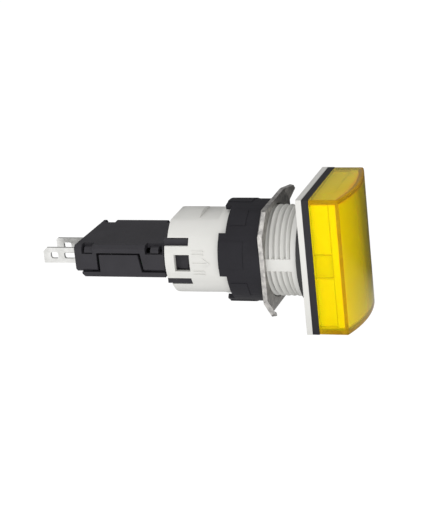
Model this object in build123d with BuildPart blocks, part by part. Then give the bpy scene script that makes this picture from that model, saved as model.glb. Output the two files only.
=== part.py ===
from build123d import *
import os

# Panel pilot light for a 16 mm hole, with a rectangular head.
# The device axis is Y: the lens faces -Y and the terminals face +Y.
# +Z runs along the head's long side. The origin is on the device axis, in the
# plane where the flange seal meets the panel. All sizes are in millimetres.

# Driving dimensions
head_width = 18.0
head_height = 24.0
head_corner = 0.4
barrel_radius = 7.9
thread_root = 7.3
thread_pitch = 1.0
bore_radius = 6.6
seal_thickness = 0.9
flange_thickness = 1.0
bezel_thickness = 1.25
lens_edge_depth = 5.05
lens_crown = 1.5
plate_front = 5.5
plate_thickness = 0.8
nut_length = 6.2
nut_radius = 8.92
collar_radius = 7.42
collar_rear = 23.3
block_front = 24.0
block_rear = 40.35
block_half_width = 7.1
block_top = 2.95
parting = -1.85
tag_width = 2.8
tag_thickness = 0.5
tag_spacing = 5.0

# Places along the axis that follow from them
flange_rear = -seal_thickness
flange_front = flange_rear - flange_thickness
bezel_front = flange_front - bezel_thickness
lens_edge = bezel_front - lens_edge_depth
lens_front = lens_edge - lens_crown
plate_rear = plate_front + plate_thickness
nut_rear = plate_rear + nut_length

os.makedirs("parts", exist_ok=True)


def across(y):
    """The plane square to the device axis at a place along it, facing the lens."""
    return Plane.XZ.offset(-y)


def ring_sector(inner, outer, centre, width):
    """A flat piece of a ring, placed by its centre angle and its width in degrees."""
    with BuildSketch() as sector:
        with BuildLine():
            inner_arc = CenterArc((0, 0), inner, centre - width / 2, width)
            outer_arc = CenterArc((0, 0), outer, centre - width / 2, width)
            Line(inner_arc @ 0, outer_arc @ 0)
            Line(inner_arc @ 1, outer_arc @ 1)
        make_face()
    return sector.sketch


def finish(part, name):
    """Label a piece and write its own file."""
    part.label = name
    export_step(part, "parts/" + name + ".step")


# Threaded head: the flange and its hollow barrel in one moulding.
# The thread is a row of closed ridges of the M16 x 1 section.
neck_end = 1.2
barrel_rear = 12.1
seal_groove_radius = 7.6
ridge_count = 10
crest_flat = 0.15
flank = 0.35
ridge_points = []
for ridge in range(ridge_count):
    foot = neck_end + thread_pitch * ridge + thread_pitch - 2 * flank - crest_flat
    ridge_points.append((thread_root, foot))
    ridge_points.append((barrel_radius, foot + flank))
    ridge_points.append((barrel_radius, foot + flank + crest_flat))
    ridge_points.append((thread_root, foot + 2 * flank + crest_flat))

with BuildPart() as flange_barrel:
    with BuildSketch(across(flange_rear)):
        RectangleRounded(head_width, head_height, head_corner)
        Circle(bore_radius, mode=Mode.SUBTRACT)
    extrude(amount=flange_thickness)
    with BuildSketch(Plane.XY):
        with BuildLine():
            Polyline(
                (bore_radius, flange_rear), (seal_groove_radius, flange_rear), (seal_groove_radius, 0),
                (barrel_radius, 0), (barrel_radius, neck_end), (thread_root, neck_end),
                *ridge_points, (thread_root, barrel_rear), (bore_radius, barrel_rear), close=True,
            )
        make_face()
    revolve(axis=Axis.Y)
    # Smooth pads break the thread on both sides of the barrel.
    pad_width = 2.0
    pad_end = 7.2
    pad_radius = 7.7
    with BuildSketch(across(pad_end)):
        Rectangle(2 * barrel_radius, pad_width)
        Circle(pad_radius, mode=Mode.INTERSECT)
        Circle(thread_root - 0.1, mode=Mode.SUBTRACT)
    extrude(amount=pad_end - neck_end)
    # A keyway under the barrel holds the plate's key.
    keyway_width = 2.0
    keyway_floor = 7.15
    with BuildSketch(across(barrel_rear)):
        with Locations((0, -keyway_floor - 1)):
            Rectangle(keyway_width, 2)
    extrude(amount=barrel_rear - neck_end, mode=Mode.SUBTRACT)
    # Blind pockets in the flange take the bezel's pegs.
    peg_x = 8.0
    peg_z = 11.0
    peg_radius = 0.5
    pocket_depth = 0.7
    with BuildSketch(across(flange_front + pocket_depth)):
        with GridLocations(2 * peg_x, 2 * peg_z, 2, 2):
            Circle(peg_radius + 0.03)
    extrude(amount=pocket_depth, mode=Mode.SUBTRACT)
finish(flange_barrel.part, "flange_barrel")

# Flange seal: a flat rubber ring behind the flange. It passes over the neck with a
# little play and lies round the relief groove.
seal_radius = 9.0
seal_bore = 7.95
with BuildPart() as flange_seal:
    with BuildSketch(across(0)):
        Circle(seal_radius)
        Circle(seal_bore, mode=Mode.SUBTRACT)
    extrude(amount=seal_thickness)
finish(flange_seal.part, "flange_seal")

# Bezel frame: a black frame that the lens snaps into, with four pegs behind it.
opening_width = 14.0
opening_height = 20.0
leg_width = 4.0
leg_rear = -2.55
notch_width = 16.4
gasket_x = 7.3
gasket_z = 10.3
gasket_width = 0.6
gasket_depth = 0.4
with BuildPart() as bezel_frame:
    with BuildSketch(across(flange_front)):
        RectangleRounded(head_width, head_height, head_corner)
        Rectangle(opening_width, opening_height, mode=Mode.SUBTRACT)
    extrude(amount=bezel_thickness)
    # Notches for the lens legs, open to the front.
    notch_depth = leg_rear + 0.1 - bezel_front
    with BuildSketch(across(bezel_front + notch_depth)):
        Rectangle(notch_width, leg_width + 0.3)
    extrude(amount=notch_depth, mode=Mode.SUBTRACT)
    # A groove in the rear face takes the bezel gasket.
    with BuildSketch(across(flange_front)):
        Rectangle(2 * (gasket_x + gasket_width), 2 * (gasket_z + gasket_width))
        Rectangle(2 * gasket_x, 2 * gasket_z, mode=Mode.SUBTRACT)
    extrude(amount=gasket_depth, mode=Mode.SUBTRACT)
    # Pegs.
    peg_length = 0.6
    with BuildSketch(across(flange_front + peg_length)):
        with GridLocations(2 * peg_x, 2 * peg_z, 2, 2):
            Circle(peg_radius)
    extrude(amount=peg_length)
finish(bezel_frame.part, "bezel_frame")

# Bezel gasket: a thin rubber frame between the bezel and the flange.
gasket_play = 0.03
with BuildPart() as bezel_gasket:
    with BuildSketch(across(flange_front)):
        Rectangle(2 * (gasket_x + gasket_width - gasket_play), 2 * (gasket_z + gasket_width - gasket_play))
        Rectangle(2 * (gasket_x + gasket_play), 2 * (gasket_z + gasket_play), mode=Mode.SUBTRACT)
    extrude(amount=gasket_depth)
finish(bezel_gasket.part, "bezel_gasket")

# Lens: a hollow cap with a front that curves across the width, and two snap legs
# that reach into the bezel at mid height.
lens_wall = 0.95
cavity_half_width = head_width / 2 - lens_wall
cavity_half_height = head_height / 2 - lens_wall
crown_radius = (lens_crown**2 + (head_width / 2) ** 2) / (2 * lens_crown)
crown_centre = lens_front + crown_radius
plate_back = -6.25
leg_inner = 7.2
with BuildPart() as lens:
    with BuildSketch(Plane.XY.offset(-head_height / 2)):
        with BuildLine():
            side = Polyline(
                (-head_width / 2, lens_edge), (-head_width / 2, bezel_front),
                (head_width / 2, bezel_front), (head_width / 2, lens_edge),
            )
            ThreePointArc(side @ 1, (0, lens_front), side @ 0)
        make_face()
    extrude(amount=head_height)
    front_edges = edges().filter_by(lambda edge: edge.center().Y < bezel_front - 1)
    fillet(front_edges, radius=0.35)
    with BuildSketch(Plane.XY.offset(-cavity_half_height)):
        with Locations((0, crown_centre)):
            Circle(crown_radius - lens_wall)
        with Locations((0, bezel_front - 10)):
            Rectangle(2 * cavity_half_width, 20, mode=Mode.INTERSECT)
    extrude(amount=2 * cavity_half_height, mode=Mode.SUBTRACT)
    with BuildSketch(across(leg_rear)):
        with GridLocations(leg_inner + cavity_half_width, 1, 2, 1):
            Rectangle(cavity_half_width - leg_inner, leg_width)
    extrude(amount=leg_rear - plate_back)
finish(lens.part, "lens")

# Legend plate: a thick blank insert that fills the front of the lens.
plate_play = 0.08
with BuildPart() as legend_plate:
    with BuildSketch(Plane.XY.offset(plate_play - cavity_half_height)):
        with Locations((0, crown_centre)):
            Circle(crown_radius - lens_wall - plate_play)
        with Locations((0, plate_back - 10)):
            Rectangle(2 * (cavity_half_width - plate_play), 20, mode=Mode.INTERSECT)
    extrude(amount=2 * (cavity_half_height - plate_play))
finish(legend_plate.part, "legend_plate")

# Diffuser: a translucent cup that spreads the lamp's light. It stands on the bezel,
# its skirt fills the bezel's opening, and its sides are notched for the lens legs.
diffuser_half_width = 7.8
diffuser_half_height = 10.8
diffuser_front = plate_back + 0.1
skirt_play = 0.1
diffuser_wall = 0.9
notch_half_height = 2.3
with BuildPart() as diffuser:
    with BuildSketch(across(bezel_front)):
        RectangleRounded(2 * diffuser_half_width, 2 * diffuser_half_height, 0.5)
    extrude(amount=bezel_front - diffuser_front)
    with BuildSketch(across(bezel_front)):
        with GridLocations(2 * leg_inner + 2, 1, 2, 1):
            Rectangle(2.4, 2 * notch_half_height)
    extrude(amount=bezel_front - diffuser_front, mode=Mode.SUBTRACT)
    with BuildSketch(across(flange_front)):
        Rectangle(opening_width - 2 * skirt_play, opening_height - 2 * skirt_play)
    extrude(amount=bezel_thickness)
    with BuildSketch(across(flange_front)):
        Rectangle(opening_width - 2 * diffuser_wall, opening_height - 2 * diffuser_wall)
    extrude(amount=flange_front - diffuser_front - diffuser_wall, mode=Mode.SUBTRACT)
finish(diffuser.part, "diffuser")

# Anti-rotation plate: square spring steel with two corners bent to bite the panel.
plate_size = 18.0
plate_hole = 8.05
bend_distance = 10.9
claw_reach = 12.45
claw_rise = 1.2
with BuildPart() as anti_rotation_plate:
    for side in (1, -1):
        with BuildSketch(Plane(origin=(0, 0, 0), x_dir=(side, 0, side), z_dir=(side, 0, -side))):
            with BuildLine():
                Polyline(
                    (bend_distance, -plate_rear), (claw_reach, claw_rise - plate_rear),
                    (claw_reach - 0.3, claw_rise - plate_front), (bend_distance - 0.3, -plate_front),
                    close=True,
                )
            make_face()
        extrude(amount=3, both=True)
    Box(plate_size, 4 * plate_rear, plate_size, mode=Mode.INTERSECT)
    with BuildSketch(across(plate_rear)):
        Rectangle(plate_size, plate_size)
        with Locations(Rotation(0, 0, 45)):
            Rectangle(2 * bend_distance - 0.3, 2 * bend_distance, mode=Mode.INTERSECT)
        Circle(plate_hole, mode=Mode.SUBTRACT)
    extrude(amount=plate_thickness)
    # The key stands in the barrel's keyway.
    key_reach = 7.4
    with BuildSketch(across(plate_rear)):
        with Locations((0, -(key_reach + plate_size / 2 - 0.3) / 2)):
            Rectangle(keyway_width - 0.3, plate_size / 2 - 0.3 - key_reach)
    extrude(amount=plate_thickness)
finish(anti_rotation_plate.part, "anti_rotation_plate")

# Fixing nut: a ring with four grip tabs behind it and shallow raised pads.
nut_bore = 8.0
tab_length = 1.2
tab_angle = 167
tab_span = 50
pad_height = 0.12
nut_body_radius = nut_radius - pad_height
with BuildPart() as fixing_nut:
    with BuildSketch(across(nut_rear)):
        Circle(nut_body_radius)
        Circle(nut_bore, mode=Mode.SUBTRACT)
    extrude(amount=nut_length)
    with BuildSketch(across(nut_rear + tab_length)):
        with PolarLocations(0, 4, start_angle=tab_angle):
            add(ring_sector(nut_bore, nut_body_radius, 0, tab_span))
    extrude(amount=tab_length)
    # A pad on each tab runs to the tab's end, and one between tabs to the ring's end.
    with BuildSketch(across(nut_rear + tab_length)):
        with PolarLocations(0, 4, start_angle=tab_angle):
            add(ring_sector(nut_body_radius - 0.3, nut_radius, 0, 31))
    extrude(amount=4.35)
    with BuildSketch(across(nut_rear - 0.5)):
        with PolarLocations(0, 4, start_angle=tab_angle - 45):
            add(ring_sector(nut_body_radius - 0.3, nut_radius, 0, 22))
    extrude(amount=2.85)
finish(fixing_nut.part, "fixing_nut")

# Body collar: a spigot inside the barrel, a round shell, and two snap arms.
spigot_radius = 6.5
spigot_front = 8.1
shoulder_front = 12.3
shoulder_end = 14.4
shoulder_radius = 7.5
nose_bore = 5.9
channel_half_width = 6.45
channel_half_height = 2.85
channel_front = 18.9
arm_rear = 23.75
arm_half_height = 2.9
slot_top = 4.2
slot_front = 19.5
with BuildPart() as body_collar:
    with BuildSketch(Plane.XY):
        with BuildLine():
            Polyline(
                (0, spigot_front), (spigot_radius, spigot_front), (spigot_radius, shoulder_front),
                (shoulder_radius, shoulder_front), (shoulder_radius, shoulder_end),
                (collar_radius, shoulder_end + 0.4), (collar_radius, arm_rear), (0, arm_rear), close=True,
            )
        make_face()
    revolve(axis=Axis.Y)
    # The end behind the slots is cut back, and only the two arms reach full length.
    with BuildSketch(across(arm_rear)):
        Rectangle(4 * collar_radius, 4 * collar_radius)
        Rectangle(4 * collar_radius, 2 * arm_half_height, mode=Mode.SUBTRACT)
    extrude(amount=arm_rear - collar_rear, mode=Mode.SUBTRACT)
    # Flats above and below, and slanted cuts at the rear end.
    flat_height = 6.72
    flat_end = 18.2
    for side in (1, -1):
        with BuildSketch(Plane.YZ.offset(-collar_radius)):
            with BuildLine():
                Polyline(
                    (shoulder_end + 0.4, side * flat_height), (flat_end, side * flat_height),
                    (flat_end, side * 9), (shoulder_end, side * 9), (shoulder_end, side * shoulder_radius),
                    close=True,
                )
            make_face()
            with BuildLine():
                Polyline(
                    (21.2, side * 7.5), (collar_rear, side * 6.6), (collar_rear, side * 9), (21.2, side * 9),
                    close=True,
                )
            make_face()
        extrude(amount=2 * collar_radius, mode=Mode.SUBTRACT)
    # The bore takes the lamp block's nose, and the channel takes its body.
    with BuildSketch(across(channel_front)):
        Circle(nose_bore)
    extrude(amount=channel_front - spigot_front, mode=Mode.SUBTRACT)
    with BuildSketch(across(arm_rear)):
        Rectangle(2 * channel_half_width, 2 * channel_half_height)
    extrude(amount=arm_rear - channel_front, mode=Mode.SUBTRACT)
    # Hollows above and below the channel keep the walls even.
    hollow_low = 3.9
    hollow_high = 6.2
    with BuildSketch(across(collar_rear)):
        with GridLocations(1, hollow_low + hollow_high, 1, 2):
            Rectangle(9.2, hollow_high - hollow_low)
        Circle(collar_radius - 1, mode=Mode.INTERSECT)
    extrude(amount=3.4, mode=Mode.SUBTRACT)
    # Slots beside the arms let them flex.
    slot_inner = 4.8
    with BuildSketch(across(arm_rear)):
        with GridLocations(2 * slot_inner + 4, arm_half_height + slot_top, 2, 2):
            Rectangle(4, slot_top - arm_half_height)
        Rectangle(2 * channel_half_width, 2 * slot_top)
        Rectangle(2 * slot_inner, 2 * slot_top, mode=Mode.SUBTRACT)
    extrude(amount=arm_rear - slot_front, mode=Mode.SUBTRACT)
    # Windows in the arms catch the block's teeth.
    window_front = 19.35
    window_rear = 22.1
    with BuildSketch(Plane.YZ.offset(-2 * collar_radius)):
        with Locations(((window_front + window_rear) / 2, 0)):
            Rectangle(window_rear - window_front, 3)
    extrude(amount=4 * collar_radius, mode=Mode.SUBTRACT)
finish(body_collar.part, "body_collar")

# Lamp block: a wide box behind the collar, a narrower root inside the collar's
# channel, and a nose that carries the lamp. The cover and the base are two shells
# that part at one level, with a tongue of the base standing in each side.
root_front = 19.1
root_half_width = 6.25
root_top = 2.65
rail_front = 19.7
rail_centre = 5.5
rail_width = 1.3
rail_top = 4.05
nose_front = 7.1
nose_half_width = 3.9
nose_top = 2.3
wall = 0.9
rear_slant = 0.85
rear_wall_end = -1.7
tongue_front = 28.3
tongue_rear = 35.9
tongue_top = 1.3
tongue_lean = 0.5
groove = 0.45
top_groove = 0.3
foot_length = 1.1
foot_height = 0.22
window_depth = 1.8
tooth_top = 2.5
hook_starts = (24.95, 37.12)
window_starts = (24.15, 37.05)
window_lengths = (3.2, 1.95)
hook_length = 1.45
tag_centre = -0.45
tag_slot = tag_thickness + 0.1
with BuildPart() as led_block_cover:
    with BuildSketch(across(block_rear)):
        with Locations((0, (block_top + parting) / 2)):
            Rectangle(2 * block_half_width, block_top - parting)
        chamfer(vertices().group_by(Axis.Z)[-1], length=0.55)
    extrude(amount=block_rear - block_front)
    with BuildSketch(across(block_front)):
        with Locations((0, (root_top + parting) / 2)):
            Rectangle(2 * root_half_width, root_top - parting)
        chamfer(vertices().group_by(Axis.Z)[-1], length=0.7)
    extrude(amount=block_front - root_front)
    with BuildSketch(across(root_front)):
        with Locations((0, (nose_top + parting) / 2)):
            Rectangle(2 * nose_half_width, nose_top - parting)
    extrude(amount=root_front - nose_front)
    # Two rails stand in the collar's slots, above the arms.
    with BuildSketch(across(block_front)):
        with GridLocations(2 * rail_centre, 1, 2, 1):
            with Locations((0, (root_top + rail_top) / 2)):
                Rectangle(rail_width, rail_top - root_top)
    extrude(amount=block_front - rail_front)
    # The snap teeth stand just under the collar's arms.
    for side in (1, -1):
        with BuildSketch(Plane.XY.offset(-1.3)):
            with BuildLine():
                Polyline(
                    (side * root_half_width, 19.7), (side * 6.4, 20.3), (side * 6.4, 21.0),
                    (side * root_half_width, 21.7), close=True,
                )
            make_face()
        extrude(amount=2.6)
    # The inside is open below, in three widths.
    inside_rear = block_rear - rear_slant - wall
    with BuildSketch(across(inside_rear)):
        with Locations((0, (block_top - wall + parting) / 2)):
            Rectangle(2 * (block_half_width - wall), block_top - wall - parting)
    extrude(amount=inside_rear - block_front - wall, mode=Mode.SUBTRACT)
    with BuildSketch(across(block_front + wall)):
        with Locations((0, (root_top - wall + parting) / 2)):
            Rectangle(2 * (root_half_width - wall), root_top - wall - parting)
    extrude(amount=block_front - root_front, mode=Mode.SUBTRACT)
    with BuildSketch(across(root_front + wall)):
        with Locations((0, (nose_top - wall + parting) / 2)):
            Rectangle(2 * (nose_half_width - wall), nose_top - wall - parting)
    extrude(amount=root_front - nose_front, mode=Mode.SUBTRACT)
    # Slots for the lamp's leads and, behind, for the two tags.
    with BuildSketch(across(nose_front + wall)):
        with Locations((0, (parting + 0.4) / 2)):
            Rectangle(3.4, 0.4 - parting)
    extrude(amount=wall, mode=Mode.SUBTRACT)
    with BuildSketch(across(block_rear)):
        with GridLocations(tag_spacing, 1, 2, 1):
            with Locations((0, tag_centre - 1)):
                Rectangle(tag_slot, tag_width + 2.1)
    extrude(amount=block_rear - inside_rear, mode=Mode.SUBTRACT)
    # The rear face runs back towards -X.
    with BuildSketch(Plane.XY.offset(-5)):
        with BuildLine():
            Polyline(
                (-block_half_width, block_rear), (block_half_width, block_rear - rear_slant),
                (block_half_width, block_rear + 1), (-block_half_width, block_rear + 1), close=True,
            )
        make_face()
    extrude(amount=10, mode=Mode.SUBTRACT)
    # Side openings for the tongues, and corner windows for the base's hooks.
    with BuildSketch(Plane.YZ.offset(-2 * block_half_width)):
        with BuildLine():
            Polyline(
                (tongue_front - groove, parting), (tongue_front + tongue_lean - groove, tongue_top + top_groove),
                (tongue_rear + groove, tongue_top + top_groove), (tongue_rear + groove, parting), close=True,
            )
        make_face()
        with Locations(((tongue_front + tongue_rear) / 2, parting)):
            Rectangle(tongue_rear - tongue_front + 2 * (groove + foot_length), 2 * foot_height)
    extrude(amount=4 * block_half_width, mode=Mode.SUBTRACT)
    for start, length in zip(window_starts, window_lengths):
        with BuildSketch(across(start + length)):
            with GridLocations(2 * block_half_width, 1, 2, 1):
                with Locations((0, tooth_top - 0.2)):
                    Rectangle(2 * window_depth, 1.7)
        extrude(amount=length, mode=Mode.SUBTRACT)
finish(led_block_cover.part, "led_block_cover")

base_floor = -2.7
base_top = parting - 0.01
base_rear = 39.3
root_floor = -2.65
nose_floor = -2.3
floor_thickness = base_top - base_floor
with BuildPart() as led_block_base:
    with BuildSketch(Plane.XY.offset(base_top)):
        with Locations((0, (block_front + base_rear) / 2)):
            Rectangle(2 * block_half_width, base_rear - block_front)
    extrude(amount=-floor_thickness)
    chamfer(edges().filter_by(Axis.X).group_by(Axis.Y)[-1].sort_by(Axis.Z)[0], length=0.5)
    with BuildSketch(Plane.XY.offset(base_top)):
        with Locations((0, (root_front + block_front) / 2)):
            Rectangle(2 * root_half_width, block_front - root_front)
    extrude(amount=root_floor - base_top)
    with BuildSketch(Plane.XY.offset(base_top)):
        with Locations((0, (nose_front + root_front) / 2)):
            Rectangle(2 * nose_half_width, root_front - nose_front)
    extrude(amount=nose_floor - base_top)
    # Two rails stand in the collar's slots, below the arms.
    with BuildSketch(across(block_front)):
        with GridLocations(2 * rail_centre, 1, 2, 1):
            with Locations((0, (root_floor - rail_top) / 2)):
                Rectangle(rail_width, rail_top + root_floor)
    extrude(amount=block_front - rail_front)
    # The tongue in each side stands flush with the cover's wall.
    tongue_wall = 0.8
    for side in (1, -1):
        with BuildSketch(Plane.YZ.offset(side * (block_half_width - tongue_wall / 2))):
            with BuildLine():
                Polyline(
                    (tongue_front, base_top), (tongue_front + tongue_lean, tongue_top),
                    (tongue_rear, tongue_top), (tongue_rear, base_top), close=True,
                )
            make_face()
        extrude(amount=tongue_wall / 2, both=True)
    # Four hooks rise inside the cover, and their teeth look out of its windows.
    hook_inner = 5.4
    hook_outer = 6.15
    hook_tooth = 6.95
    for start in hook_starts:
        with BuildSketch(across(start + hook_length)):
            with BuildLine():
                Polyline(
                    (hook_inner, base_top), (hook_outer, base_top), (hook_outer, 1.6), (hook_tooth, 1.6),
                    (hook_tooth, tooth_top - 0.45), (hook_tooth - 0.45, tooth_top), (hook_inner, tooth_top),
                    close=True,
                )
            make_face()
            mirror(about=Plane.YZ)
        extrude(amount=hook_length)
    # Ledges carry the circuit board.
    with BuildSketch(Plane.XY.offset(base_top)):
        with Locations((0, 23), (0, 36)):
            Rectangle(6, 1)
    extrude(amount=0.55)
finish(led_block_base.part, "led_block_base")

# Circuit board, resting on the ledges.
board_bottom = base_top + 0.55
board_thickness = 0.8
board_top = board_bottom + board_thickness
board_front = 20.0
board_rear = 38.2
with BuildPart() as circuit_board:
    with BuildSketch(Plane.XY.offset(board_bottom)):
        with Locations((0, (board_front + board_rear) / 2)):
            Rectangle(9.4, board_rear - board_front)
    extrude(amount=board_thickness)
finish(circuit_board.part, "circuit_board")

# Lamp: a round LED with a domed front, at the end of the nose.
lamp_radius = 2.45
rim_radius = 2.7
rim_length = 0.8
dome_start = 2.55
with BuildPart() as led_lamp:
    with BuildSketch(Plane.XY):
        with BuildLine():
            Polyline(
                (0, dome_start - lamp_radius), (0, nose_front), (rim_radius, nose_front),
                (rim_radius, nose_front - rim_length), (lamp_radius, nose_front - rim_length),
                (lamp_radius, dome_start),
            )
            CenterArc((0, dome_start), lamp_radius, -90, 90)
        make_face()
    revolve(axis=Axis.Y)
finish(led_lamp.part, "led_lamp")

# The lamp's two leads run back through the nose and lie on the board.
lead_size = 0.5
lead_pitch = 2.54
with BuildPart() as led_leads:
    with BuildSketch(Plane.XY.offset(board_top)):
        with Locations((0, (nose_front + 22.5) / 2)):
            with GridLocations(lead_pitch, 1, 2, 1):
                Rectangle(lead_size, 22.5 - nose_front)
    extrude(amount=lead_size)
finish(led_leads.part, "led_leads")

# Parts on the board: the dropping resistor, the bridge rectifier and a capacitor.
with BuildPart() as dropping_resistor:
    with BuildSketch(Plane.XY.offset(board_top)):
        with Locations((-2.2, 26.2)):
            Rectangle(1.6, 3.2)
    extrude(amount=0.6)
finish(dropping_resistor.part, "dropping_resistor")

with BuildPart() as bridge_rectifier:
    with BuildSketch(Plane.XY.offset(board_top + 0.1)):
        with Locations((0, 31.4)):
            Rectangle(3.8, 4.6)
    extrude(amount=1.4)
    chamfer(faces().sort_by(Axis.Z)[-1].edges(), length=0.2)
    with BuildSketch(Plane.XY.offset(board_top)):
        with Locations((0, 31.4)):
            with GridLocations(4.6, 2.54, 2, 2):
                Rectangle(1.2, 0.6)
    extrude(amount=0.4)
finish(bridge_rectifier.part, "bridge_rectifier")

with BuildPart() as smoothing_capacitor:
    with BuildSketch(Plane.XY.offset(board_top)):
        with Locations((2.2, 26.2)):
            Rectangle(2.5, 3.2)
    extrude(amount=1.3)
finish(smoothing_capacitor.part, "smoothing_capacitor")

# Terminal tags: flat blades with a wire hole and a slot, and a tail on the board.
tag_ends = {"blade_tag_left": (-1, 48.0), "blade_tag_right": (1, 47.4)}
tail_front = 34.6
shoulder = 38.5
for tag_name, (side, tag_end) in tag_ends.items():
    with BuildPart() as blade_tag:
        with BuildSketch(Plane.YZ.offset(side * tag_spacing / 2 - tag_thickness / 2)):
            with Locations(((shoulder + tag_end) / 2, tag_centre)):
                Rectangle(tag_end - shoulder, tag_width)
            chamfer(vertices().group_by(Axis.Y)[-1].sort_by(Axis.Z)[0], length=0.7)
            chamfer(vertices().sort_by(Axis.Z)[-2:].sort_by(Axis.Y)[-1], length=0.3)
            with Locations(((tail_front + shoulder) / 2, (board_top + tag_centre + tag_width / 2) / 2)):
                Rectangle(shoulder - tail_front, tag_centre + tag_width / 2 - board_top)
            with Locations((tag_end - 2.05, tag_centre)):
                RectangleRounded(1.4, 1.15, 0.35, mode=Mode.SUBTRACT)
            with Locations((tag_end - 4.9, tag_centre)):
                RectangleRounded(2.0, 1.15, 0.35, mode=Mode.SUBTRACT)
        extrude(amount=tag_thickness)
    finish(blade_tag.part, tag_name)

# Solder: a fillet at the outer side of each tag's tail and of each lead.
with BuildPart() as solder_joints:
    for foot, end, length in (((tag_spacing + tag_thickness) / 2, 36.6, 1.6),
                              ((lead_pitch + lead_size) / 2, 22.3, 1.2)):
        with BuildSketch(across(end)):
            with BuildLine():
                Polyline((foot, board_top), (foot + 0.5, board_top), (foot, board_top + 0.45), close=True)
            make_face()
            mirror(about=Plane.YZ)
        extrude(amount=length)
finish(solder_joints.part, "solder_joints")
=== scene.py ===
import math

import bmesh
import bpy
from mathutils import Matrix, Vector


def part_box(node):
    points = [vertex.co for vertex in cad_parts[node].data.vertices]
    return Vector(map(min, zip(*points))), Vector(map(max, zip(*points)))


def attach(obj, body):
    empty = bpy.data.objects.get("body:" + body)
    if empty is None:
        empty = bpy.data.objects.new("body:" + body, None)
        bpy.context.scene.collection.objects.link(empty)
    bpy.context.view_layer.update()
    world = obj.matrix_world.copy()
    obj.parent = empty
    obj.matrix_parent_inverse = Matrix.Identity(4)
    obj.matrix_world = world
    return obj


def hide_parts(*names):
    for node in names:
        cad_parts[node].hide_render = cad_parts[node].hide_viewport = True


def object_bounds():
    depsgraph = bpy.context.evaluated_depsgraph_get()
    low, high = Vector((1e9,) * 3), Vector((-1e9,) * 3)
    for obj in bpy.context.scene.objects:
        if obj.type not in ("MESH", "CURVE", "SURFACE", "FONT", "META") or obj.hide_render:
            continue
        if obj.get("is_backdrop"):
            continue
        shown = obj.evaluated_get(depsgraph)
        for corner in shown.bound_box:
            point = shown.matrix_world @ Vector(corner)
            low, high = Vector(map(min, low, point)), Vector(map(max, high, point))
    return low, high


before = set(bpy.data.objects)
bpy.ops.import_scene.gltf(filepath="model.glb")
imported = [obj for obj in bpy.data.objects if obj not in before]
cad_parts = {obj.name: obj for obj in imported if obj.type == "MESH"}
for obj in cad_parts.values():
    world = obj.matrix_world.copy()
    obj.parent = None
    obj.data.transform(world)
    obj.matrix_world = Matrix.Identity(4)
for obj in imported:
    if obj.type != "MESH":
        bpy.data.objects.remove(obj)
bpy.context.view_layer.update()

# Threaded head: a light grey flange and its hollow barrel, moulded in one piece from
# glass-filled plastic. The M16 x 1 thread runs down the barrel and is broken by a smooth
# pad on each side and by a keyway underneath. Pieces are drawn in millimetres.
MM = 0.001


def finish_piece(bm, name, body, nodes, material, sharp=35):
    """Turn a bmesh drawn in millimetres into a piece that stands for CAD nodes."""
    bmesh.ops.remove_doubles(bm, verts=bm.verts, dist=1e-4)
    bmesh.ops.scale(bm, vec=(MM, MM, MM), verts=bm.verts)
    mesh = bpy.data.meshes.new(name)
    bm.to_mesh(mesh)
    bm.free()
    mesh.shade_smooth()
    mesh.set_sharp_from_angle(angle=math.radians(sharp))
    mesh.materials.append(material)
    piece = bpy.data.objects.new(name, mesh)
    bpy.context.scene.collection.objects.link(piece)
    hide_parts(*nodes)
    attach(piece, body)
    return piece


def soften(piece, width, segments=2, angle=30):
    """Round a piece's sharp edges, with the width in millimetres."""
    rounding = piece.modifiers.new("rounded edges", "BEVEL")
    rounding.width = width * MM
    rounding.segments = segments
    rounding.limit_method = "ANGLE"
    rounding.angle_limit = math.radians(angle)
    rounding.harden_normals = True
    rounding.miter_outer = "MITER_ARC"
    return piece


def add_node(tree, kind, sockets=None, **settings):
    """Put a node in a tree with its settings and the values of its sockets."""
    made = tree.nodes.new(kind)
    for name, value in settings.items():
        setattr(made, name, value)
    for name, value in (sockets or {}).items():
        made.inputs[name].default_value = value
    return made


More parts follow.
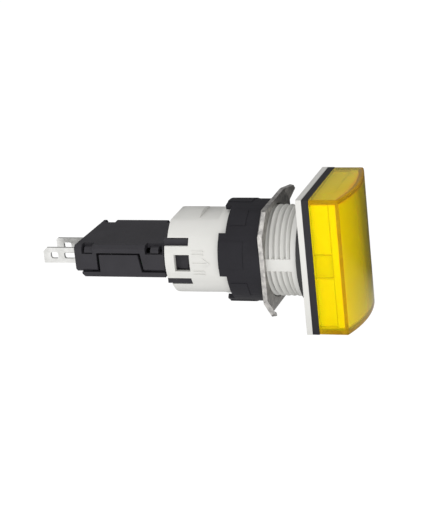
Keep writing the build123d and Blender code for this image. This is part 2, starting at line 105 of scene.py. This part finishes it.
def make_skin_group():
    """Moulded plastic's skin: faint clouds in the colour and a fine grain in the surface."""
    group = bpy.data.node_groups.new("moulded_skin", "ShaderNodeTree")
    for name, kind, value in (
        ("Colour", "NodeSocketColor", (0.5, 0.5, 0.5, 1)),
        ("Cloud Depth", "NodeSocketFloat", 0.05),
        ("Roughness", "NodeSocketFloat", 0.4),
        ("Roughness Spread", "NodeSocketFloat", 0.1),
        ("Grain Scale", "NodeSocketFloat", 4000),
        ("Grain Depth", "NodeSocketFloat", 0.3),
    ):
        group.interface.new_socket(name, in_out="INPUT", socket_type=kind).default_value = value
    for name, kind in (
        ("Colour", "NodeSocketColor"), ("Roughness", "NodeSocketFloat"), ("Normal", "NodeSocketVector"),
    ):
        group.interface.new_socket(name, in_out="OUTPUT", socket_type=kind)
    entry = add_node(group, "NodeGroupInput")
    leave = add_node(group, "NodeGroupOutput")
    place = add_node(group, "ShaderNodeTexCoord")
    clouds = add_node(group, "ShaderNodeTexNoise", {"Scale": 260, "Detail": 4, "Roughness": 0.55})
    grain = add_node(group, "ShaderNodeTexNoise", {"Detail": 3, "Roughness": 0.6})
    tone = add_node(group, "ShaderNodeMapRange", {"From Min": 0.3, "From Max": 0.7})
    low = add_node(group, "ShaderNodeMath", operation="SUBTRACT")
    low.inputs[0].default_value = 1
    high = add_node(group, "ShaderNodeMath", operation="ADD")
    high.inputs[0].default_value = 1
    tint = add_node(group, "ShaderNodeVectorMath", operation="SCALE")
    shine = add_node(group, "ShaderNodeMath", operation="MULTIPLY_ADD")
    centre = add_node(group, "ShaderNodeMath", operation="SUBTRACT")
    centre.inputs[1].default_value = 0.5
    bump = add_node(group, "ShaderNodeBump", {"Distance": 0.00002})
    link = group.links.new
    link(place.outputs["Object"], clouds.inputs["Vector"])
    link(place.outputs["Object"], grain.inputs["Vector"])
    link(entry.outputs["Grain Scale"], grain.inputs["Scale"])
    link(clouds.outputs["Fac"], tone.inputs["Value"])
    link(entry.outputs["Cloud Depth"], low.inputs[1])
    link(entry.outputs["Cloud Depth"], high.inputs[1])
    link(low.outputs[0], tone.inputs["To Min"])
    link(high.outputs[0], tone.inputs["To Max"])
    link(entry.outputs["Colour"], tint.inputs[0])
    link(tone.outputs["Result"], tint.inputs["Scale"])
    link(tint.outputs[0], leave.inputs["Colour"])
    link(grain.outputs["Fac"], centre.inputs[0])
    link(centre.outputs[0], shine.inputs[0])
    link(entry.outputs["Roughness Spread"], shine.inputs[1])
    link(entry.outputs["Roughness"], shine.inputs[2])
    link(shine.outputs[0], leave.inputs["Roughness"])
    link(grain.outputs["Fac"], bump.inputs["Height"])
    link(entry.outputs["Grain Depth"], bump.inputs["Strength"])
    link(bump.outputs["Normal"], leave.inputs["Normal"])
    return group


skin_group = make_skin_group()


def moulded(name, colour, clouds, rough, spread, grain, relief, **plain):
    """A moulded plastic or rubber, from the skin group's values and the shader's own."""
    material = bpy.data.materials.new(name)
    material.use_nodes = True
    tree = material.node_tree
    shader = tree.nodes["Principled BSDF"]
    for socket, value in plain.items():
        shader.inputs[socket.replace("_", " ")].default_value = value
    surface = add_node(tree, "ShaderNodeGroup", node_tree=skin_group)
    surface.inputs["Colour"].default_value = (*colour, 1)
    surface.inputs["Cloud Depth"].default_value = clouds
    surface.inputs["Roughness"].default_value = rough
    surface.inputs["Roughness Spread"].default_value = spread
    surface.inputs["Grain Scale"].default_value = grain
    surface.inputs["Grain Depth"].default_value = relief
    tree.links.new(surface.outputs["Colour"], shader.inputs["Base Color"])
    tree.links.new(surface.outputs["Roughness"], shader.inputs["Roughness"])
    tree.links.new(surface.outputs["Normal"], shader.inputs["Normal"])
    return material


light_grey = moulded(
    "light_grey_moulding", (0.7, 0.695, 0.665),
    clouds=0.02, rough=0.42, spread=0.12, grain=5000, relief=0.25,
)


def axial_ring(bm, radius, y, steps):
    """A circle of edges round the device axis."""
    turned = Matrix.Translation((0, y, 0)) @ Matrix.Rotation(math.pi / 2, 4, "X")
    made = bmesh.ops.create_circle(bm, segments=steps, radius=radius, matrix=turned)
    return list({edge for vert in made["verts"] for edge in vert.link_edges})


def washer(bm, y, hole, half_width, half_height, steps):
    """A flat rectangular face with a round hole, square to the axis."""
    past_corners = 2.5 * half_height
    inner = axial_ring(bm, hole, y, steps)
    outer = axial_ring(bm, past_corners, y, steps)
    faces = bmesh.ops.bridge_loops(bm, edges=inner + outer)["faces"]
    for direction in (Vector((1, 0, 0)), Vector((-1, 0, 0)), Vector((0, 0, 1)), Vector((0, 0, -1))):
        reach = half_width if direction.x else half_height
        faces = [face for face in faces if face.is_valid]
        patch = list({item for face in faces for item in (face, *face.edges, *face.verts)})
        cut = bmesh.ops.bisect_plane(
            bm, geom=patch, dist=1e-5, plane_co=direction * reach, plane_no=direction, clear_outer=True
        )
        faces = [item for item in cut["geom"] if isinstance(item, bmesh.types.BMFace)]


def slice_across(bm, *planes):
    """Cut every face along planes, each given by a point and a normal."""
    for point, normal in planes:
        geom = bm.verts[:] + bm.edges[:] + bm.faces[:]
        bmesh.ops.bisect_plane(bm, geom=geom, dist=1e-5, plane_co=point, plane_no=normal)


head_low, head_high = (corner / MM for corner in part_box("flange_barrel"))
half_width = head_high.x
half_height = head_high.z
flange_front = head_low.y
flange_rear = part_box("flange_seal")[0].y / MM
barrel_rear = head_high.y
barrel_radius = 7.9
bore_radius = 6.6
seal_groove = 7.6
neck_end = 1.2
pitch = 1.0
crest = 7.88
root = 7.12
turn_steps = 96
pad_half_width = 1.0
pad_end = 7.2
pad_edge = 0.04
slack = 0.01
keyway_floor = 7.15
lead_in = 0.9
lead_in_slope = 0.6

bm = bmesh.new()
turns = int(barrel_rear - neck_end) + 3
flank_points = (
    (root, 0.0), (root + 0.03, 0.09), (crest - 0.1, 0.36), (crest - 0.02, 0.44), (crest, 0.5),
    (crest - 0.02, 0.56), (crest - 0.1, 0.64), (root + 0.03, 0.91), (root, 1.0),
)
thread_start = neck_end - 1.4 * pitch
profile = [bm.verts.new((radius, thread_start + step * pitch, 0)) for radius, step in flank_points]
edges = [bm.edges.new(pair) for pair in zip(profile, profile[1:])]
bmesh.ops.spin(
    bm, geom=profile + edges, cent=(0, 0, 0), axis=(0, 1, 0), dvec=(0, pitch / turn_steps, 0),
    angle=2 * math.pi * turns, steps=turns * turn_steps,
)
bmesh.ops.remove_doubles(bm, verts=bm.verts, dist=1e-3)
for level, toward in ((neck_end, -1), (barrel_rear, 1)):
    geom = bm.verts[:] + bm.edges[:] + bm.faces[:]
    bmesh.ops.bisect_plane(
        bm, geom=geom, dist=1e-5, plane_co=(0, level, 0), plane_no=(0, toward, 0), clear_outer=True
    )
for direction in (Vector((0, 0, 1)), Vector((1, 0, 0))):
    for side in (1, -1):
        for level in (pad_half_width, pad_half_width + pad_edge):
            slice_across(bm, (direction * side * level, direction))
for level in (pad_end, pad_end + pad_edge):
    slice_across(bm, ((0, level, 0), (0, 1, 0)))
for vert in bm.verts:
    radius = math.hypot(vert.co.x, vert.co.z)
    if abs(vert.co.z) < pad_half_width + slack and vert.co.y < pad_end + slack:
        wanted = crest
    elif vert.co.z < 0 and abs(vert.co.x) < pad_half_width + slack:
        wanted = keyway_floor
    else:
        wanted = min(radius, crest - max(0, vert.co.y - barrel_rear + lead_in) * lead_in_slope)
    vert.co.x *= wanted / radius
    vert.co.z *= wanted / radius


def rim_at(bm, y):
    """The open edges that lie at one place along the axis."""
    return [
        edge for edge in bm.edges
        if edge.is_boundary and all(abs(vert.co.y - y) < 1e-3 for vert in edge.verts)
    ]


thread_front = rim_at(bm, neck_end)
thread_rear = rim_at(bm, barrel_rear)
neck = ((barrel_radius, neck_end), (barrel_radius, 0), (seal_groove, 0), (seal_groove, flange_rear))
neck_loops = [thread_front] + [axial_ring(bm, radius, y, turn_steps) for radius, y in neck]
for first, second in zip(neck_loops, neck_loops[1:]):
    bmesh.ops.bridge_loops(bm, edges=first + second)
bore_front, bore_rear = (axial_ring(bm, bore_radius, y, turn_steps) for y in (flange_front, barrel_rear))
bmesh.ops.bridge_loops(bm, edges=bore_front + bore_rear)
bmesh.ops.bridge_loops(bm, edges=bore_rear + thread_rear)
washer(bm, flange_rear, seal_groove, half_width, half_height, turn_steps)
washer(bm, flange_front, bore_radius, half_width, half_height, turn_steps)
flange_outline = [
    edge for edge in bm.edges
    if edge.is_boundary and all(
        max(abs(vert.co.x) / half_width, abs(vert.co.z) / half_height) > 0.999 for vert in edge.verts
    )
]
bmesh.ops.bridge_loops(bm, edges=flange_outline)
bmesh.ops.remove_doubles(bm, verts=bm.verts, dist=1e-3)
bmesh.ops.recalc_face_normals(bm, faces=bm.faces)


def paint_root_shade(material, deep, shallow, darkest):
    """A copy of a moulding material with painted shade: its colour darkens towards the thread's roots."""
    copy = material.copy()
    copy.name = material.name + "_thread_painted_shade"
    tree = copy.node_tree
    shader = tree.nodes["Principled BSDF"]
    plain_colour = shader.inputs["Base Color"].links[0].from_socket
    place = add_node(tree, "ShaderNodeTexCoord")
    flatten = add_node(tree, "ShaderNodeVectorMath", operation="MULTIPLY")
    flatten.inputs[1].default_value = (1, 0, 1)
    reach = add_node(tree, "ShaderNodeVectorMath", operation="LENGTH")
    shade = add_node(tree, "ShaderNodeMapRange", {
        "From Min": deep * MM, "From Max": shallow * MM, "To Min": darkest, "To Max": 1,
    })
    mix = add_node(tree, "ShaderNodeMix", data_type="RGBA", blend_type="MULTIPLY")
    mix.inputs[0].default_value = 1
    tree.links.new(place.outputs["Object"], flatten.inputs[0])
    tree.links.new(flatten.outputs[0], reach.inputs[0])
    tree.links.new(reach.outputs["Value"], shade.inputs["Value"])
    tree.links.new(plain_colour, mix.inputs[6])
    tree.links.new(shade.outputs["Result"], mix.inputs[7])
    tree.links.new(mix.outputs[2], shader.inputs["Base Color"])
    return copy


# Painted shade: the thread's colour darkens in its grooves, standing in for the shade the grooves fall in.
thread_grey_painted_shade = paint_root_shade(light_grey, root, crest - 0.3, 0.7)
threaded_head = finish_piece(
    bm, "threaded_head", "head", ["flange_barrel"], thread_grey_painted_shade, sharp=50
)
soften(threaded_head, 0.08, angle=60)

# Flange seal: a black rubber ring that lies in the groove behind the flange. It is
# cut from moulded rubber with slightly rounded rims.
rubber = moulded(
    "black_rubber", (0.018, 0.018, 0.019),
    clouds=0.12, rough=0.62, spread=0.2, grain=3500, relief=0.4,
)


def lathe(bm, points, steps):
    """Turn a closed outline of radii and places along the axis into a ring."""
    verts = [bm.verts.new((radius, y, 0)) for radius, y in points]
    edges = [bm.edges.new(pair) for pair in zip(verts, verts[1:] + verts[:1])]
    bmesh.ops.spin(
        bm, geom=verts + edges, cent=(0, 0, 0), axis=(0, 1, 0), angle=2 * math.pi,
        steps=steps, use_merge=True,
    )
    bmesh.ops.recalc_face_normals(bm, faces=bm.faces)


seal_low, seal_high = (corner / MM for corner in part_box("flange_seal"))
seal_bore = 7.95
seal_outline = (
    (seal_bore, seal_low.y), (seal_high.x, seal_low.y), (seal_high.x, seal_high.y), (seal_bore, seal_high.y),
)
bm = bmesh.new()
lathe(bm, seal_outline, turn_steps)
soften(finish_piece(bm, "flange_seal_ring", "head", ["flange_seal"], rubber), 0.15, 3)

# Bezel frame: black plastic, moulded with a fine satin texture. Its opening takes the
# diffuser's skirt, with a notch on each side for the lens legs.
black_plastic = moulded(
    "black_moulding", (0.0165, 0.0155, 0.0195),
    clouds=0.12, rough=0.56, spread=0.3, grain=5200, relief=0.8,
    Specular_IOR_Level=0.3,
)


def cut_sheet(bm, y, half_width, half_height, x_cuts, z_cuts):
    """A flat rectangle square to the axis, cut by lines into patches."""
    corners = (
        (-half_width, -half_height), (half_width, -half_height),
        (half_width, half_height), (-half_width, half_height),
    )
    face = bm.faces.new([bm.verts.new((x, y, z)) for x, z in corners])
    face.normal_update()
    planes = [((x, 0, 0), (1, 0, 0)) for x in x_cuts] + [((0, 0, z), (0, 0, 1)) for z in z_cuts]
    slice_across(bm, *planes)


def thicken(bm, faces, offset):
    """Give flat patches a thickness along a vector, closed all round."""
    made = bmesh.ops.extrude_face_region(bm, geom=faces, use_keep_orig=True)
    verts = [item for item in made["geom"] if isinstance(item, bmesh.types.BMVert)]
    bmesh.ops.translate(bm, vec=offset, verts=verts)
    bmesh.ops.recalc_face_normals(bm, faces=bm.faces)


bezel_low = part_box("bezel_frame")[0] / MM
opening_x, opening_z = 7.0, 10.0
notch_x, notch_z = 8.2, 2.15
bm = bmesh.new()
cut_sheet(
    bm, flange_front, half_width, half_height,
    (-notch_x, -opening_x, opening_x, notch_x), (-opening_z, -notch_z, notch_z, opening_z),
)
hole = []
for face in bm.faces:
    middle = face.calc_center_median()
    in_opening = abs(middle.x) < opening_x and abs(middle.z) < opening_z
    in_notch = abs(middle.x) < notch_x and abs(middle.z) < notch_z
    if in_opening or in_notch:
        hole.append(face)
bmesh.ops.delete(bm, geom=hole, context="FACES")
thicken(bm, bm.faces[:], (0, bezel_low.y - flange_front, 0))
bezel_frame_ring = finish_piece(
    bm, "bezel_frame_ring", "head", ["bezel_frame"], black_plastic
)
soften(bezel_frame_ring, 0.12, 3)

# Bezel gasket: a thin rubber frame pressed between the bezel and the flange. It is
# hidden once the head is together.


def dress(node, material):
    """Give a CAD node that keeps its own shape its finish."""
    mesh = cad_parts[node].data
    mesh.materials.clear()
    mesh.materials.append(material)


dress("bezel_gasket", rubber)

# Diffuser: a milky cup that stands on the bezel and spreads the lamp's light. Its
# sides are notched for the lens legs, and its skirt fills the bezel's opening.
milky = moulded(
    "milky_diffuser", (0.86, 0.85, 0.8),
    clouds=0.02, rough=0.35, spread=0.1, grain=3000, relief=0.15,
    Subsurface_Weight=0.6, Subsurface_Scale=0.002,
)


def clean_copy(node):
    """A bmesh in millimetres of a CAD node's own mesh, with its flat faces joined."""
    bm = bmesh.new()
    bm.from_mesh(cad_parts[node].data)
    bmesh.ops.scale(bm, vec=(1 / MM, 1 / MM, 1 / MM), verts=bm.verts)
    bmesh.ops.remove_doubles(bm, verts=bm.verts, dist=1e-3)
    bmesh.ops.dissolve_limit(bm, angle_limit=math.radians(0.5), verts=bm.verts, edges=bm.edges)
    return bm


def softened_copy(node, name, body, material, width, segments=2, angle=30):
    """A CAD node's own shape with its edges rounded."""
    piece = finish_piece(clean_copy(node), name, body, [node], material)
    return soften(piece, width, segments, angle)


softened_copy("diffuser", "diffuser_cup", "head", milky, 0.12)

# Legend plate: a thick blank insert that fills the front of the lens and is pulled
# off with it. Its front follows the lens's curve.
softened_copy("legend_plate", "legend_insert", "lens_unit", milky, 0.25, 3)

# Lens: a polished cap of clear yellow plastic with a curved front and two snap legs.
# Light that runs a long way through the yellow turns orange, so its walls look orange
# where they are seen edge-on; that glow is painted into the colour, orange where two
# of the cap's walls meet.
lens_low, lens_high = (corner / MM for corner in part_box("lens"))
end_wall = 0.95
side_wall = 0.25
crown_wall = 1.3
inner_crown_radius = 51
inner_crown_centre = lens_low.y + crown_wall + inner_crown_radius
wall_blend = 0.04


def make_yellow():
    """Clear yellow, painted orange where two of the cap's walls meet, standing in for their glow."""
    material = bpy.data.materials.new("clear_yellow_painted_glow")
    material.use_nodes = True
    tree = material.node_tree
    link = tree.links.new
    output = tree.nodes["Material Output"]
    shader = tree.nodes["Principled BSDF"]
    shader.inputs["Transmission Weight"].default_value = 0.78
    shader.inputs["IOR"].default_value = 1.49
    shader.inputs["Specular Tint"].default_value = (1, 0.86, 0.08, 1)
    place = add_node(tree, "ShaderNodeTexCoord")
    apart = add_node(tree, "ShaderNodeSeparateXYZ")
    link(place.outputs["Object"], apart.inputs[0])
    walls = []
    for axis, depth in (("X", lens_high.x - side_wall), ("Z", lens_high.z - end_wall)):
        away = add_node(tree, "ShaderNodeMath", operation="ABSOLUTE")
        link(apart.outputs[axis], away.inputs[0])
        wall = add_node(tree, "ShaderNodeMapRange", {
            "From Min": (depth - wall_blend) * MM, "From Max": (depth + wall_blend) * MM,
        })
        link(away.outputs[0], wall.inputs["Value"])
        walls.append(wall)
    around = add_node(tree, "ShaderNodeVectorMath", operation="SUBTRACT")
    around.inputs[1].default_value = (0, inner_crown_centre * MM, 0)
    link(place.outputs["Object"], around.inputs[0])
    flatten = add_node(tree, "ShaderNodeVectorMath", operation="MULTIPLY")
    flatten.inputs[1].default_value = (1, 1, 0)
    link(around.outputs[0], flatten.inputs[0])
    reach = add_node(tree, "ShaderNodeVectorMath", operation="LENGTH")
    link(flatten.outputs[0], reach.inputs[0])
    front = add_node(tree, "ShaderNodeMapRange", {
        "From Min": (inner_crown_radius - wall_blend) * MM,
        "From Max": (inner_crown_radius + wall_blend) * MM,
    })
    link(reach.outputs["Value"], front.inputs["Value"])
    both = add_node(tree, "ShaderNodeMath", operation="ADD")
    link(walls[0].outputs[0], both.inputs[0])
    link(walls[1].outputs[0], both.inputs[1])
    three = add_node(tree, "ShaderNodeMath", operation="ADD")
    link(both.outputs[0], three.inputs[0])
    link(front.outputs[0], three.inputs[1])
    # Painted glow: the colour turns orange where two of the cap's walls overlap, in place of light that runs
    # a long way through them.
    painted_glow_mask = add_node(tree, "ShaderNodeMapRange", {"From Min": 1, "From Max": 2})
    link(three.outputs[0], painted_glow_mask.inputs["Value"])
    swirl = add_node(tree, "ShaderNodeTexNoise", {"Scale": 420, "Detail": 2})
    link(place.outputs["Object"], swirl.inputs["Vector"])
    streak = add_node(tree, "ShaderNodeMapRange", {
        "From Min": 0.35, "From Max": 0.65, "To Min": 0, "To Max": 0.5,
    })
    link(swirl.outputs["Fac"], streak.inputs["Value"])
    orange = add_node(tree, "ShaderNodeMix", data_type="RGBA")
    orange.inputs[6].default_value = (0.98, 0.5, 0.01, 1)
    orange.inputs[7].default_value = (0.99, 0.7, 0.04, 1)
    link(streak.outputs[0], orange.inputs[0])
    tint = add_node(tree, "ShaderNodeMix", data_type="RGBA")
    tint.inputs[6].default_value = (0.97, 0.83, 0.003, 1)
    link(painted_glow_mask.outputs[0], tint.inputs[0])
    link(orange.outputs[2], tint.inputs[7])
    link(tint.outputs[2], shader.inputs["Base Color"])
    polish = add_node(tree, "ShaderNodeMapRange", {"To Min": 0.01, "To Max": 0.05})
    link(swirl.outputs["Fac"], polish.inputs["Value"])
    link(polish.outputs["Result"], shader.inputs["Roughness"])
    clear = add_node(tree, "ShaderNodeBsdfTransparent", {"Color": (0.99, 0.9, 0.2, 1)})
    path = add_node(tree, "ShaderNodeLightPath")
    mix = add_node(tree, "ShaderNodeMixShader")
    link(path.outputs["Is Shadow Ray"], mix.inputs["Fac"])
    link(shader.outputs["BSDF"], mix.inputs[1])
    link(clear.outputs["BSDF"], mix.inputs[2])
    link(mix.outputs["Shader"], output.inputs["Surface"])
    return material


yellow = make_yellow()
softened_copy("lens", "lens_cap", "lens_unit", yellow, 0.05, 3)

# Anti-rotation plate: spring steel sheet, sheared and nickel plated. Two corners are
# bent towards the panel, with sheared teeth that bite it, and a third is bruised.


def plated_metal(name, dark, light, polish, scale, relief):
    """Bare or plated metal with blotches in its colour, its shine and its surface."""
    material = bpy.data.materials.new(name)
    material.use_nodes = True
    tree = material.node_tree
    shader = tree.nodes["Principled BSDF"]
    shader.inputs["Metallic"].default_value = 1
    place = add_node(tree, "ShaderNodeTexCoord")
    blotch = add_node(tree, "ShaderNodeTexNoise", {"Scale": scale, "Detail": 5, "Roughness": 0.65})
    ramp = add_node(tree, "ShaderNodeValToRGB")
    ramp.color_ramp.elements[0].position = 0.35
    ramp.color_ramp.elements[0].color = (*dark, 1)
    ramp.color_ramp.elements[1].position = 0.65
    ramp.color_ramp.elements[1].color = (*light, 1)
    rough = add_node(tree, "ShaderNodeMapRange", {"To Min": polish[0], "To Max": polish[1]})
    bump = add_node(tree, "ShaderNodeBump", {"Strength": relief, "Distance": 0.00003})
    link = tree.links.new
    link(place.outputs["Object"], blotch.inputs["Vector"])
    link(blotch.outputs["Fac"], ramp.inputs["Fac"])
    link(ramp.outputs["Color"], shader.inputs["Base Color"])
    link(blotch.outputs["Fac"], rough.inputs["Value"])
    link(rough.outputs["Result"], shader.inputs["Roughness"])
    link(blotch.outputs["Fac"], bump.inputs["Height"])
    link(bump.outputs["Normal"], shader.inputs["Normal"])
    return material


spring_steel = plated_metal(
    "plated_spring_steel", (0.34, 0.33, 0.32), (0.66, 0.64, 0.61), (0.3, 0.6), 900, 0.5
)
plate_front = 5.5
bruise_cuts = (14.4, 14.9, 15.6, 16.4, 17.2)
bruise_step = 0.12
bruise_slope = 0.22
claw_start = 15.0
claw_rise = 0.25
sheet_thickness = 0.8
tooth_length = 0.3
tooth_depth = 0.2
square_edge = 1.2
bm = clean_copy("anti_rotation_plate")
for reach in bruise_cuts:
    slice_across(bm, ((-reach / 2, 0, reach / 2), (-1, 0, 1)))
for vert in bm.verts:
    bruise = vert.co.z - vert.co.x - bruise_cuts[0]
    if bruise > slack:
        vert.co.y -= bruise * bruise_slope + bruise_step
# Each short length of a claw's sheared edge is cut in two, and the cut is pushed in.
claw_edges = [
    edge for edge in bm.edges
    if edge.calc_length() > tooth_length and abs(edge.calc_length() - sheet_thickness) > 2 * slack
    and len(edge.link_faces) == 2 and edge.calc_face_angle() > square_edge
    and all(
        abs(vert.co.x + vert.co.z) > claw_start and vert.co.y < plate_front - claw_rise
        for vert in edge.verts
    )
]
for edge in claw_edges:
    made = bmesh.ops.subdivide_edges(bm, edges=[edge], cuts=1)
    for vert in made["geom_inner"]:
        if isinstance(vert, bmesh.types.BMVert):
            vert.co.x -= math.copysign(tooth_depth, vert.co.x)
            vert.co.z -= math.copysign(tooth_depth, vert.co.z)
soften(finish_piece(bm, "claw_plate", "plate", ["anti_rotation_plate"], spring_steel), 0.05)

# Fixing nut: a black moulded ring that runs on the barrel's thread, with four grip tabs
# behind it and shallow raised pads. It is a shade darker than the other black mouldings.
nut_black = moulded(
    "nut_moulding", (0.0135, 0.0128, 0.0168),
    clouds=0.12, rough=0.6, spread=0.3, grain=5200, relief=0.9,
    Specular_IOR_Level=0.24,
)
softened_copy("fixing_nut", "ring_nut", "nut", nut_black, 0.08)

# Body collar: a light grey moulding that slips into the barrel and carries the lamp
# block between two snap arms. A moulded arrow and index bars on its side show its place.
collar_radius = 7.42
mark_width = 0.2
mark_height = 0.16
mark_root = 0.1
arrow_tip, arrow_tail = 15.9, 18.7
wing_end, wing_height = 16.9, 0.8
bar_heights = (1.5, 2.1, -1.5, -2.1)


def raised_bar(bm, start, end):
    """A fine raised bar on the collar's near side, between two places and heights."""
    middle = (Vector(start) + Vector(end)) / 2
    along = Vector(end) - Vector(start)
    turned = Matrix.Rotation(math.atan2(along.y, along.x), 4, "X")
    sized = Matrix.Diagonal((2 * mark_width, along.length + mark_width, mark_width, 1))
    placed = Matrix.Translation((-collar_radius, middle.x, middle.y))
    made = bmesh.ops.create_cube(bm, size=1, matrix=placed @ turned @ sized)
    for vert in made["verts"]:
        outer = vert.co.x < -collar_radius
        radius = collar_radius + (mark_height if outer else -mark_root)
        vert.co.x = -math.sqrt(radius ** 2 - vert.co.z ** 2)


bm = clean_copy("body_collar")
raised_bar(bm, (arrow_tip, 0), (arrow_tail, 0))
raised_bar(bm, (arrow_tip, 0), (wing_end, wing_height))
raised_bar(bm, (arrow_tip, 0), (wing_end, -wing_height))
for height in bar_heights:
    raised_bar(bm, (wing_end, height), (arrow_tail, height))
rear_collar = finish_piece(bm, "rear_collar", "collar", ["body_collar"], light_grey)
soften(rear_collar, 0.05, angle=44)

# Lamp block: two black moulded shells that clip together. A tongue of the base stands in
# each side of the cover, and the base's hooks catch in windows at the cover's corners.
block_black = moulded(
    "block_moulding", (0.029, 0.0275, 0.0325),
    clouds=0.12, rough=0.56, spread=0.3, grain=5200, relief=0.8,
    Specular_IOR_Level=0.25,
)
softened_copy("led_block_cover", "block_cover", "lamp_block", block_black, 0.03)
softened_copy("led_block_base", "block_base", "lamp_block", block_black, 0.015)

# Terminal tags: brass strip, stamped and bright tinned, with two wire holes each. They
# stand in slots in the rear wall of the lamp block and are soldered to its board.
bright_tin = plated_metal("bright_tin", (0.6, 0.6, 0.58), (0.78, 0.775, 0.76), (0.2, 0.42), 700, 0.3)
softened_copy("blade_tag_left", "tag_left", "lamp_block", bright_tin, 0.06)
softened_copy("blade_tag_right", "tag_right", "lamp_block", bright_tin, 0.06)

# Circuit board and its parts: a green laminate with a black resistor and rectifier and
# a tan capacitor, soldered with bright solder. The block's shells hide them.
board_laminate = moulded(
    "board_laminate", (0.02, 0.11, 0.035),
    clouds=0.2, rough=0.35, spread=0.2, grain=2600, relief=0.4,
    Coat_Weight=0.3,
)
tan_ceramic = moulded(
    "tan_ceramic", (0.42, 0.27, 0.13),
    clouds=0.1, rough=0.5, spread=0.2, grain=4000, relief=0.3,
)
dark_epoxy = moulded(
    "dark_epoxy", (0.014, 0.014, 0.015),
    clouds=0.1, rough=0.45, spread=0.2, grain=5000, relief=0.5,
)
solder_metal = plated_metal("solder_metal", (0.62, 0.62, 0.6), (0.86, 0.86, 0.84), (0.15, 0.4), 1500, 0.3)
dress("circuit_board", board_laminate)
dress("dropping_resistor", dark_epoxy)
dress("bridge_rectifier", dark_epoxy)
dress("smoothing_capacitor", tan_ceramic)
dress("led_leads", bright_tin)
dress("solder_joints", solder_metal)

# Lamp: a round LED of slightly milky clear epoxy at the front of the block's nose. It
# shines into the diffuser when the head is together.
lamp_epoxy = moulded(
    "lamp_epoxy", (0.9, 0.88, 0.72),
    clouds=0.03, rough=0.12, spread=0.05, grain=900, relief=0.05,
    Transmission_Weight=0.55, IOR=1.53,
)
dress("led_lamp", lamp_epoxy)

# Studio: a pale floor just under the head, a pale room that is dimmer on the far side,
# and two soft lamps, one low on the near side and one overhead.
floor_size = 3
floor_gap = 0.3
bm = bmesh.new()
bmesh.ops.create_grid(bm, x_segments=1, y_segments=1, size=floor_size)
floor_mesh = bpy.data.meshes.new("studio_floor")
bm.to_mesh(floor_mesh)
bm.free()
floor = bpy.data.objects.new("studio_floor", floor_mesh)
floor.location.z = (head_low.z - floor_gap) * MM
bpy.context.scene.collection.objects.link(floor)
floor_material = bpy.data.materials.new("pale_floor")
floor_material.use_nodes = True
tree = floor_material.node_tree
floor_shader = tree.nodes["Principled BSDF"]
floor_shader.inputs["Base Color"].default_value = (0.07, 0.07, 0.07, 1)
floor_shader.inputs["Roughness"].default_value = 0.9
floor_shader.inputs["Specular IOR Level"].default_value = 0
floor_shader.inputs["Emission Color"].default_value = (1, 1, 1, 1)
place = add_node(tree, "ShaderNodeTexCoord")
apart = add_node(tree, "ShaderNodeSeparateXYZ")
fade = add_node(tree, "ShaderNodeMapRange", {
    "From Min": -0.03, "From Max": 0.025, "To Min": 1.15, "To Max": 0.015,
})
path = add_node(tree, "ShaderNodeLightPath")
glow = add_node(tree, "ShaderNodeMath", operation="MAXIMUM")
tree.links.new(place.outputs["Object"], apart.inputs[0])
tree.links.new(apart.outputs["X"], fade.inputs["Value"])
tree.links.new(fade.outputs[0], glow.inputs[0])
tree.links.new(path.outputs["Is Camera Ray"], glow.inputs[1])
tree.links.new(glow.outputs[0], floor_shader.inputs["Emission Strength"])
floor_mesh.materials.append(floor_material)
floor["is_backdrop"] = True

room = bpy.data.worlds.new("pale_room")
room.use_nodes = True
tree = room.node_tree
place = add_node(tree, "ShaderNodeTexCoord")
apart = add_node(tree, "ShaderNodeSeparateXYZ")
fade = add_node(tree, "ShaderNodeMapRange", {
    "From Min": -1.2, "From Max": 1.2, "To Min": 0.95, "To Max": 0.14,
})
lean = add_node(tree, "ShaderNodeMath", operation="MULTIPLY_ADD")
lean.inputs[1].default_value = -0.6
path = add_node(tree, "ShaderNodeLightPath")
glow = add_node(tree, "ShaderNodeMath", operation="MAXIMUM")
tree.links.new(place.outputs["Generated"], apart.inputs[0])
tree.links.new(apart.outputs["Y"], lean.inputs[0])
tree.links.new(apart.outputs["X"], lean.inputs[2])
tree.links.new(lean.outputs[0], fade.inputs["Value"])
tree.links.new(fade.outputs[0], glow.inputs[0])
tree.links.new(path.outputs["Is Camera Ray"], glow.inputs[1])
tree.links.new(glow.outputs[0], tree.nodes["Background"].inputs["Strength"])
tree.nodes["Background"].inputs["Color"].default_value = (1, 1, 1, 1)
bpy.context.scene.world = room
bpy.context.scene.view_settings.view_transform = "Standard"


def soft_lamp(name, place, aim, size, watts):
    """A square area lamp, placed and aimed in metres."""
    data = bpy.data.lights.new(name, "AREA")
    data.size = size
    data.energy = watts
    lamp = bpy.data.objects.new(name, data)
    lamp.location = place
    lamp.rotation_euler = (Vector(aim) - Vector(place)).to_track_quat("-Z", "Y").to_euler()
    bpy.context.scene.collection.objects.link(lamp)


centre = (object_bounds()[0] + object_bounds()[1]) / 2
soft_lamp("key_lamp", (-0.82, -0.35, 0.14), centre, 0.5, 2.5)
soft_lamp("top_lamp", (-0.15, 0.1, 0.9), centre, 0.5, 1.2)

# Camera: a long lens at the height of a person looking along a bench.
azimuth = math.radians(-70.852)
elevation = math.radians(19.177)
tilt = math.radians(-5.919)
distance = 0.4
aim = Vector((-0.00495, 0.0145, 0.00109))
back = Vector((
    math.sin(azimuth) * math.cos(elevation), -math.cos(azimuth) * math.cos(elevation), math.sin(elevation),
))
level_right = (-back).cross(Vector((0, 0, 1))).normalized()
level_up = level_right.cross(-back)
right = level_right * math.cos(tilt) + level_up * math.sin(tilt)
up = level_up * math.cos(tilt) - level_right * math.sin(tilt)
camera_data = bpy.data.cameras.new("camera")
camera_data.lens = 166.59
camera_data.sensor_width = 36
camera_data.clip_start = 0.01
camera = bpy.data.objects.new("camera", camera_data)
turned = Matrix((right, up, back)).transposed().to_4x4()
camera.matrix_world = Matrix.Translation(aim + back * distance) @ turned
bpy.context.scene.collection.objects.link(camera)
bpy.context.scene.camera = camera
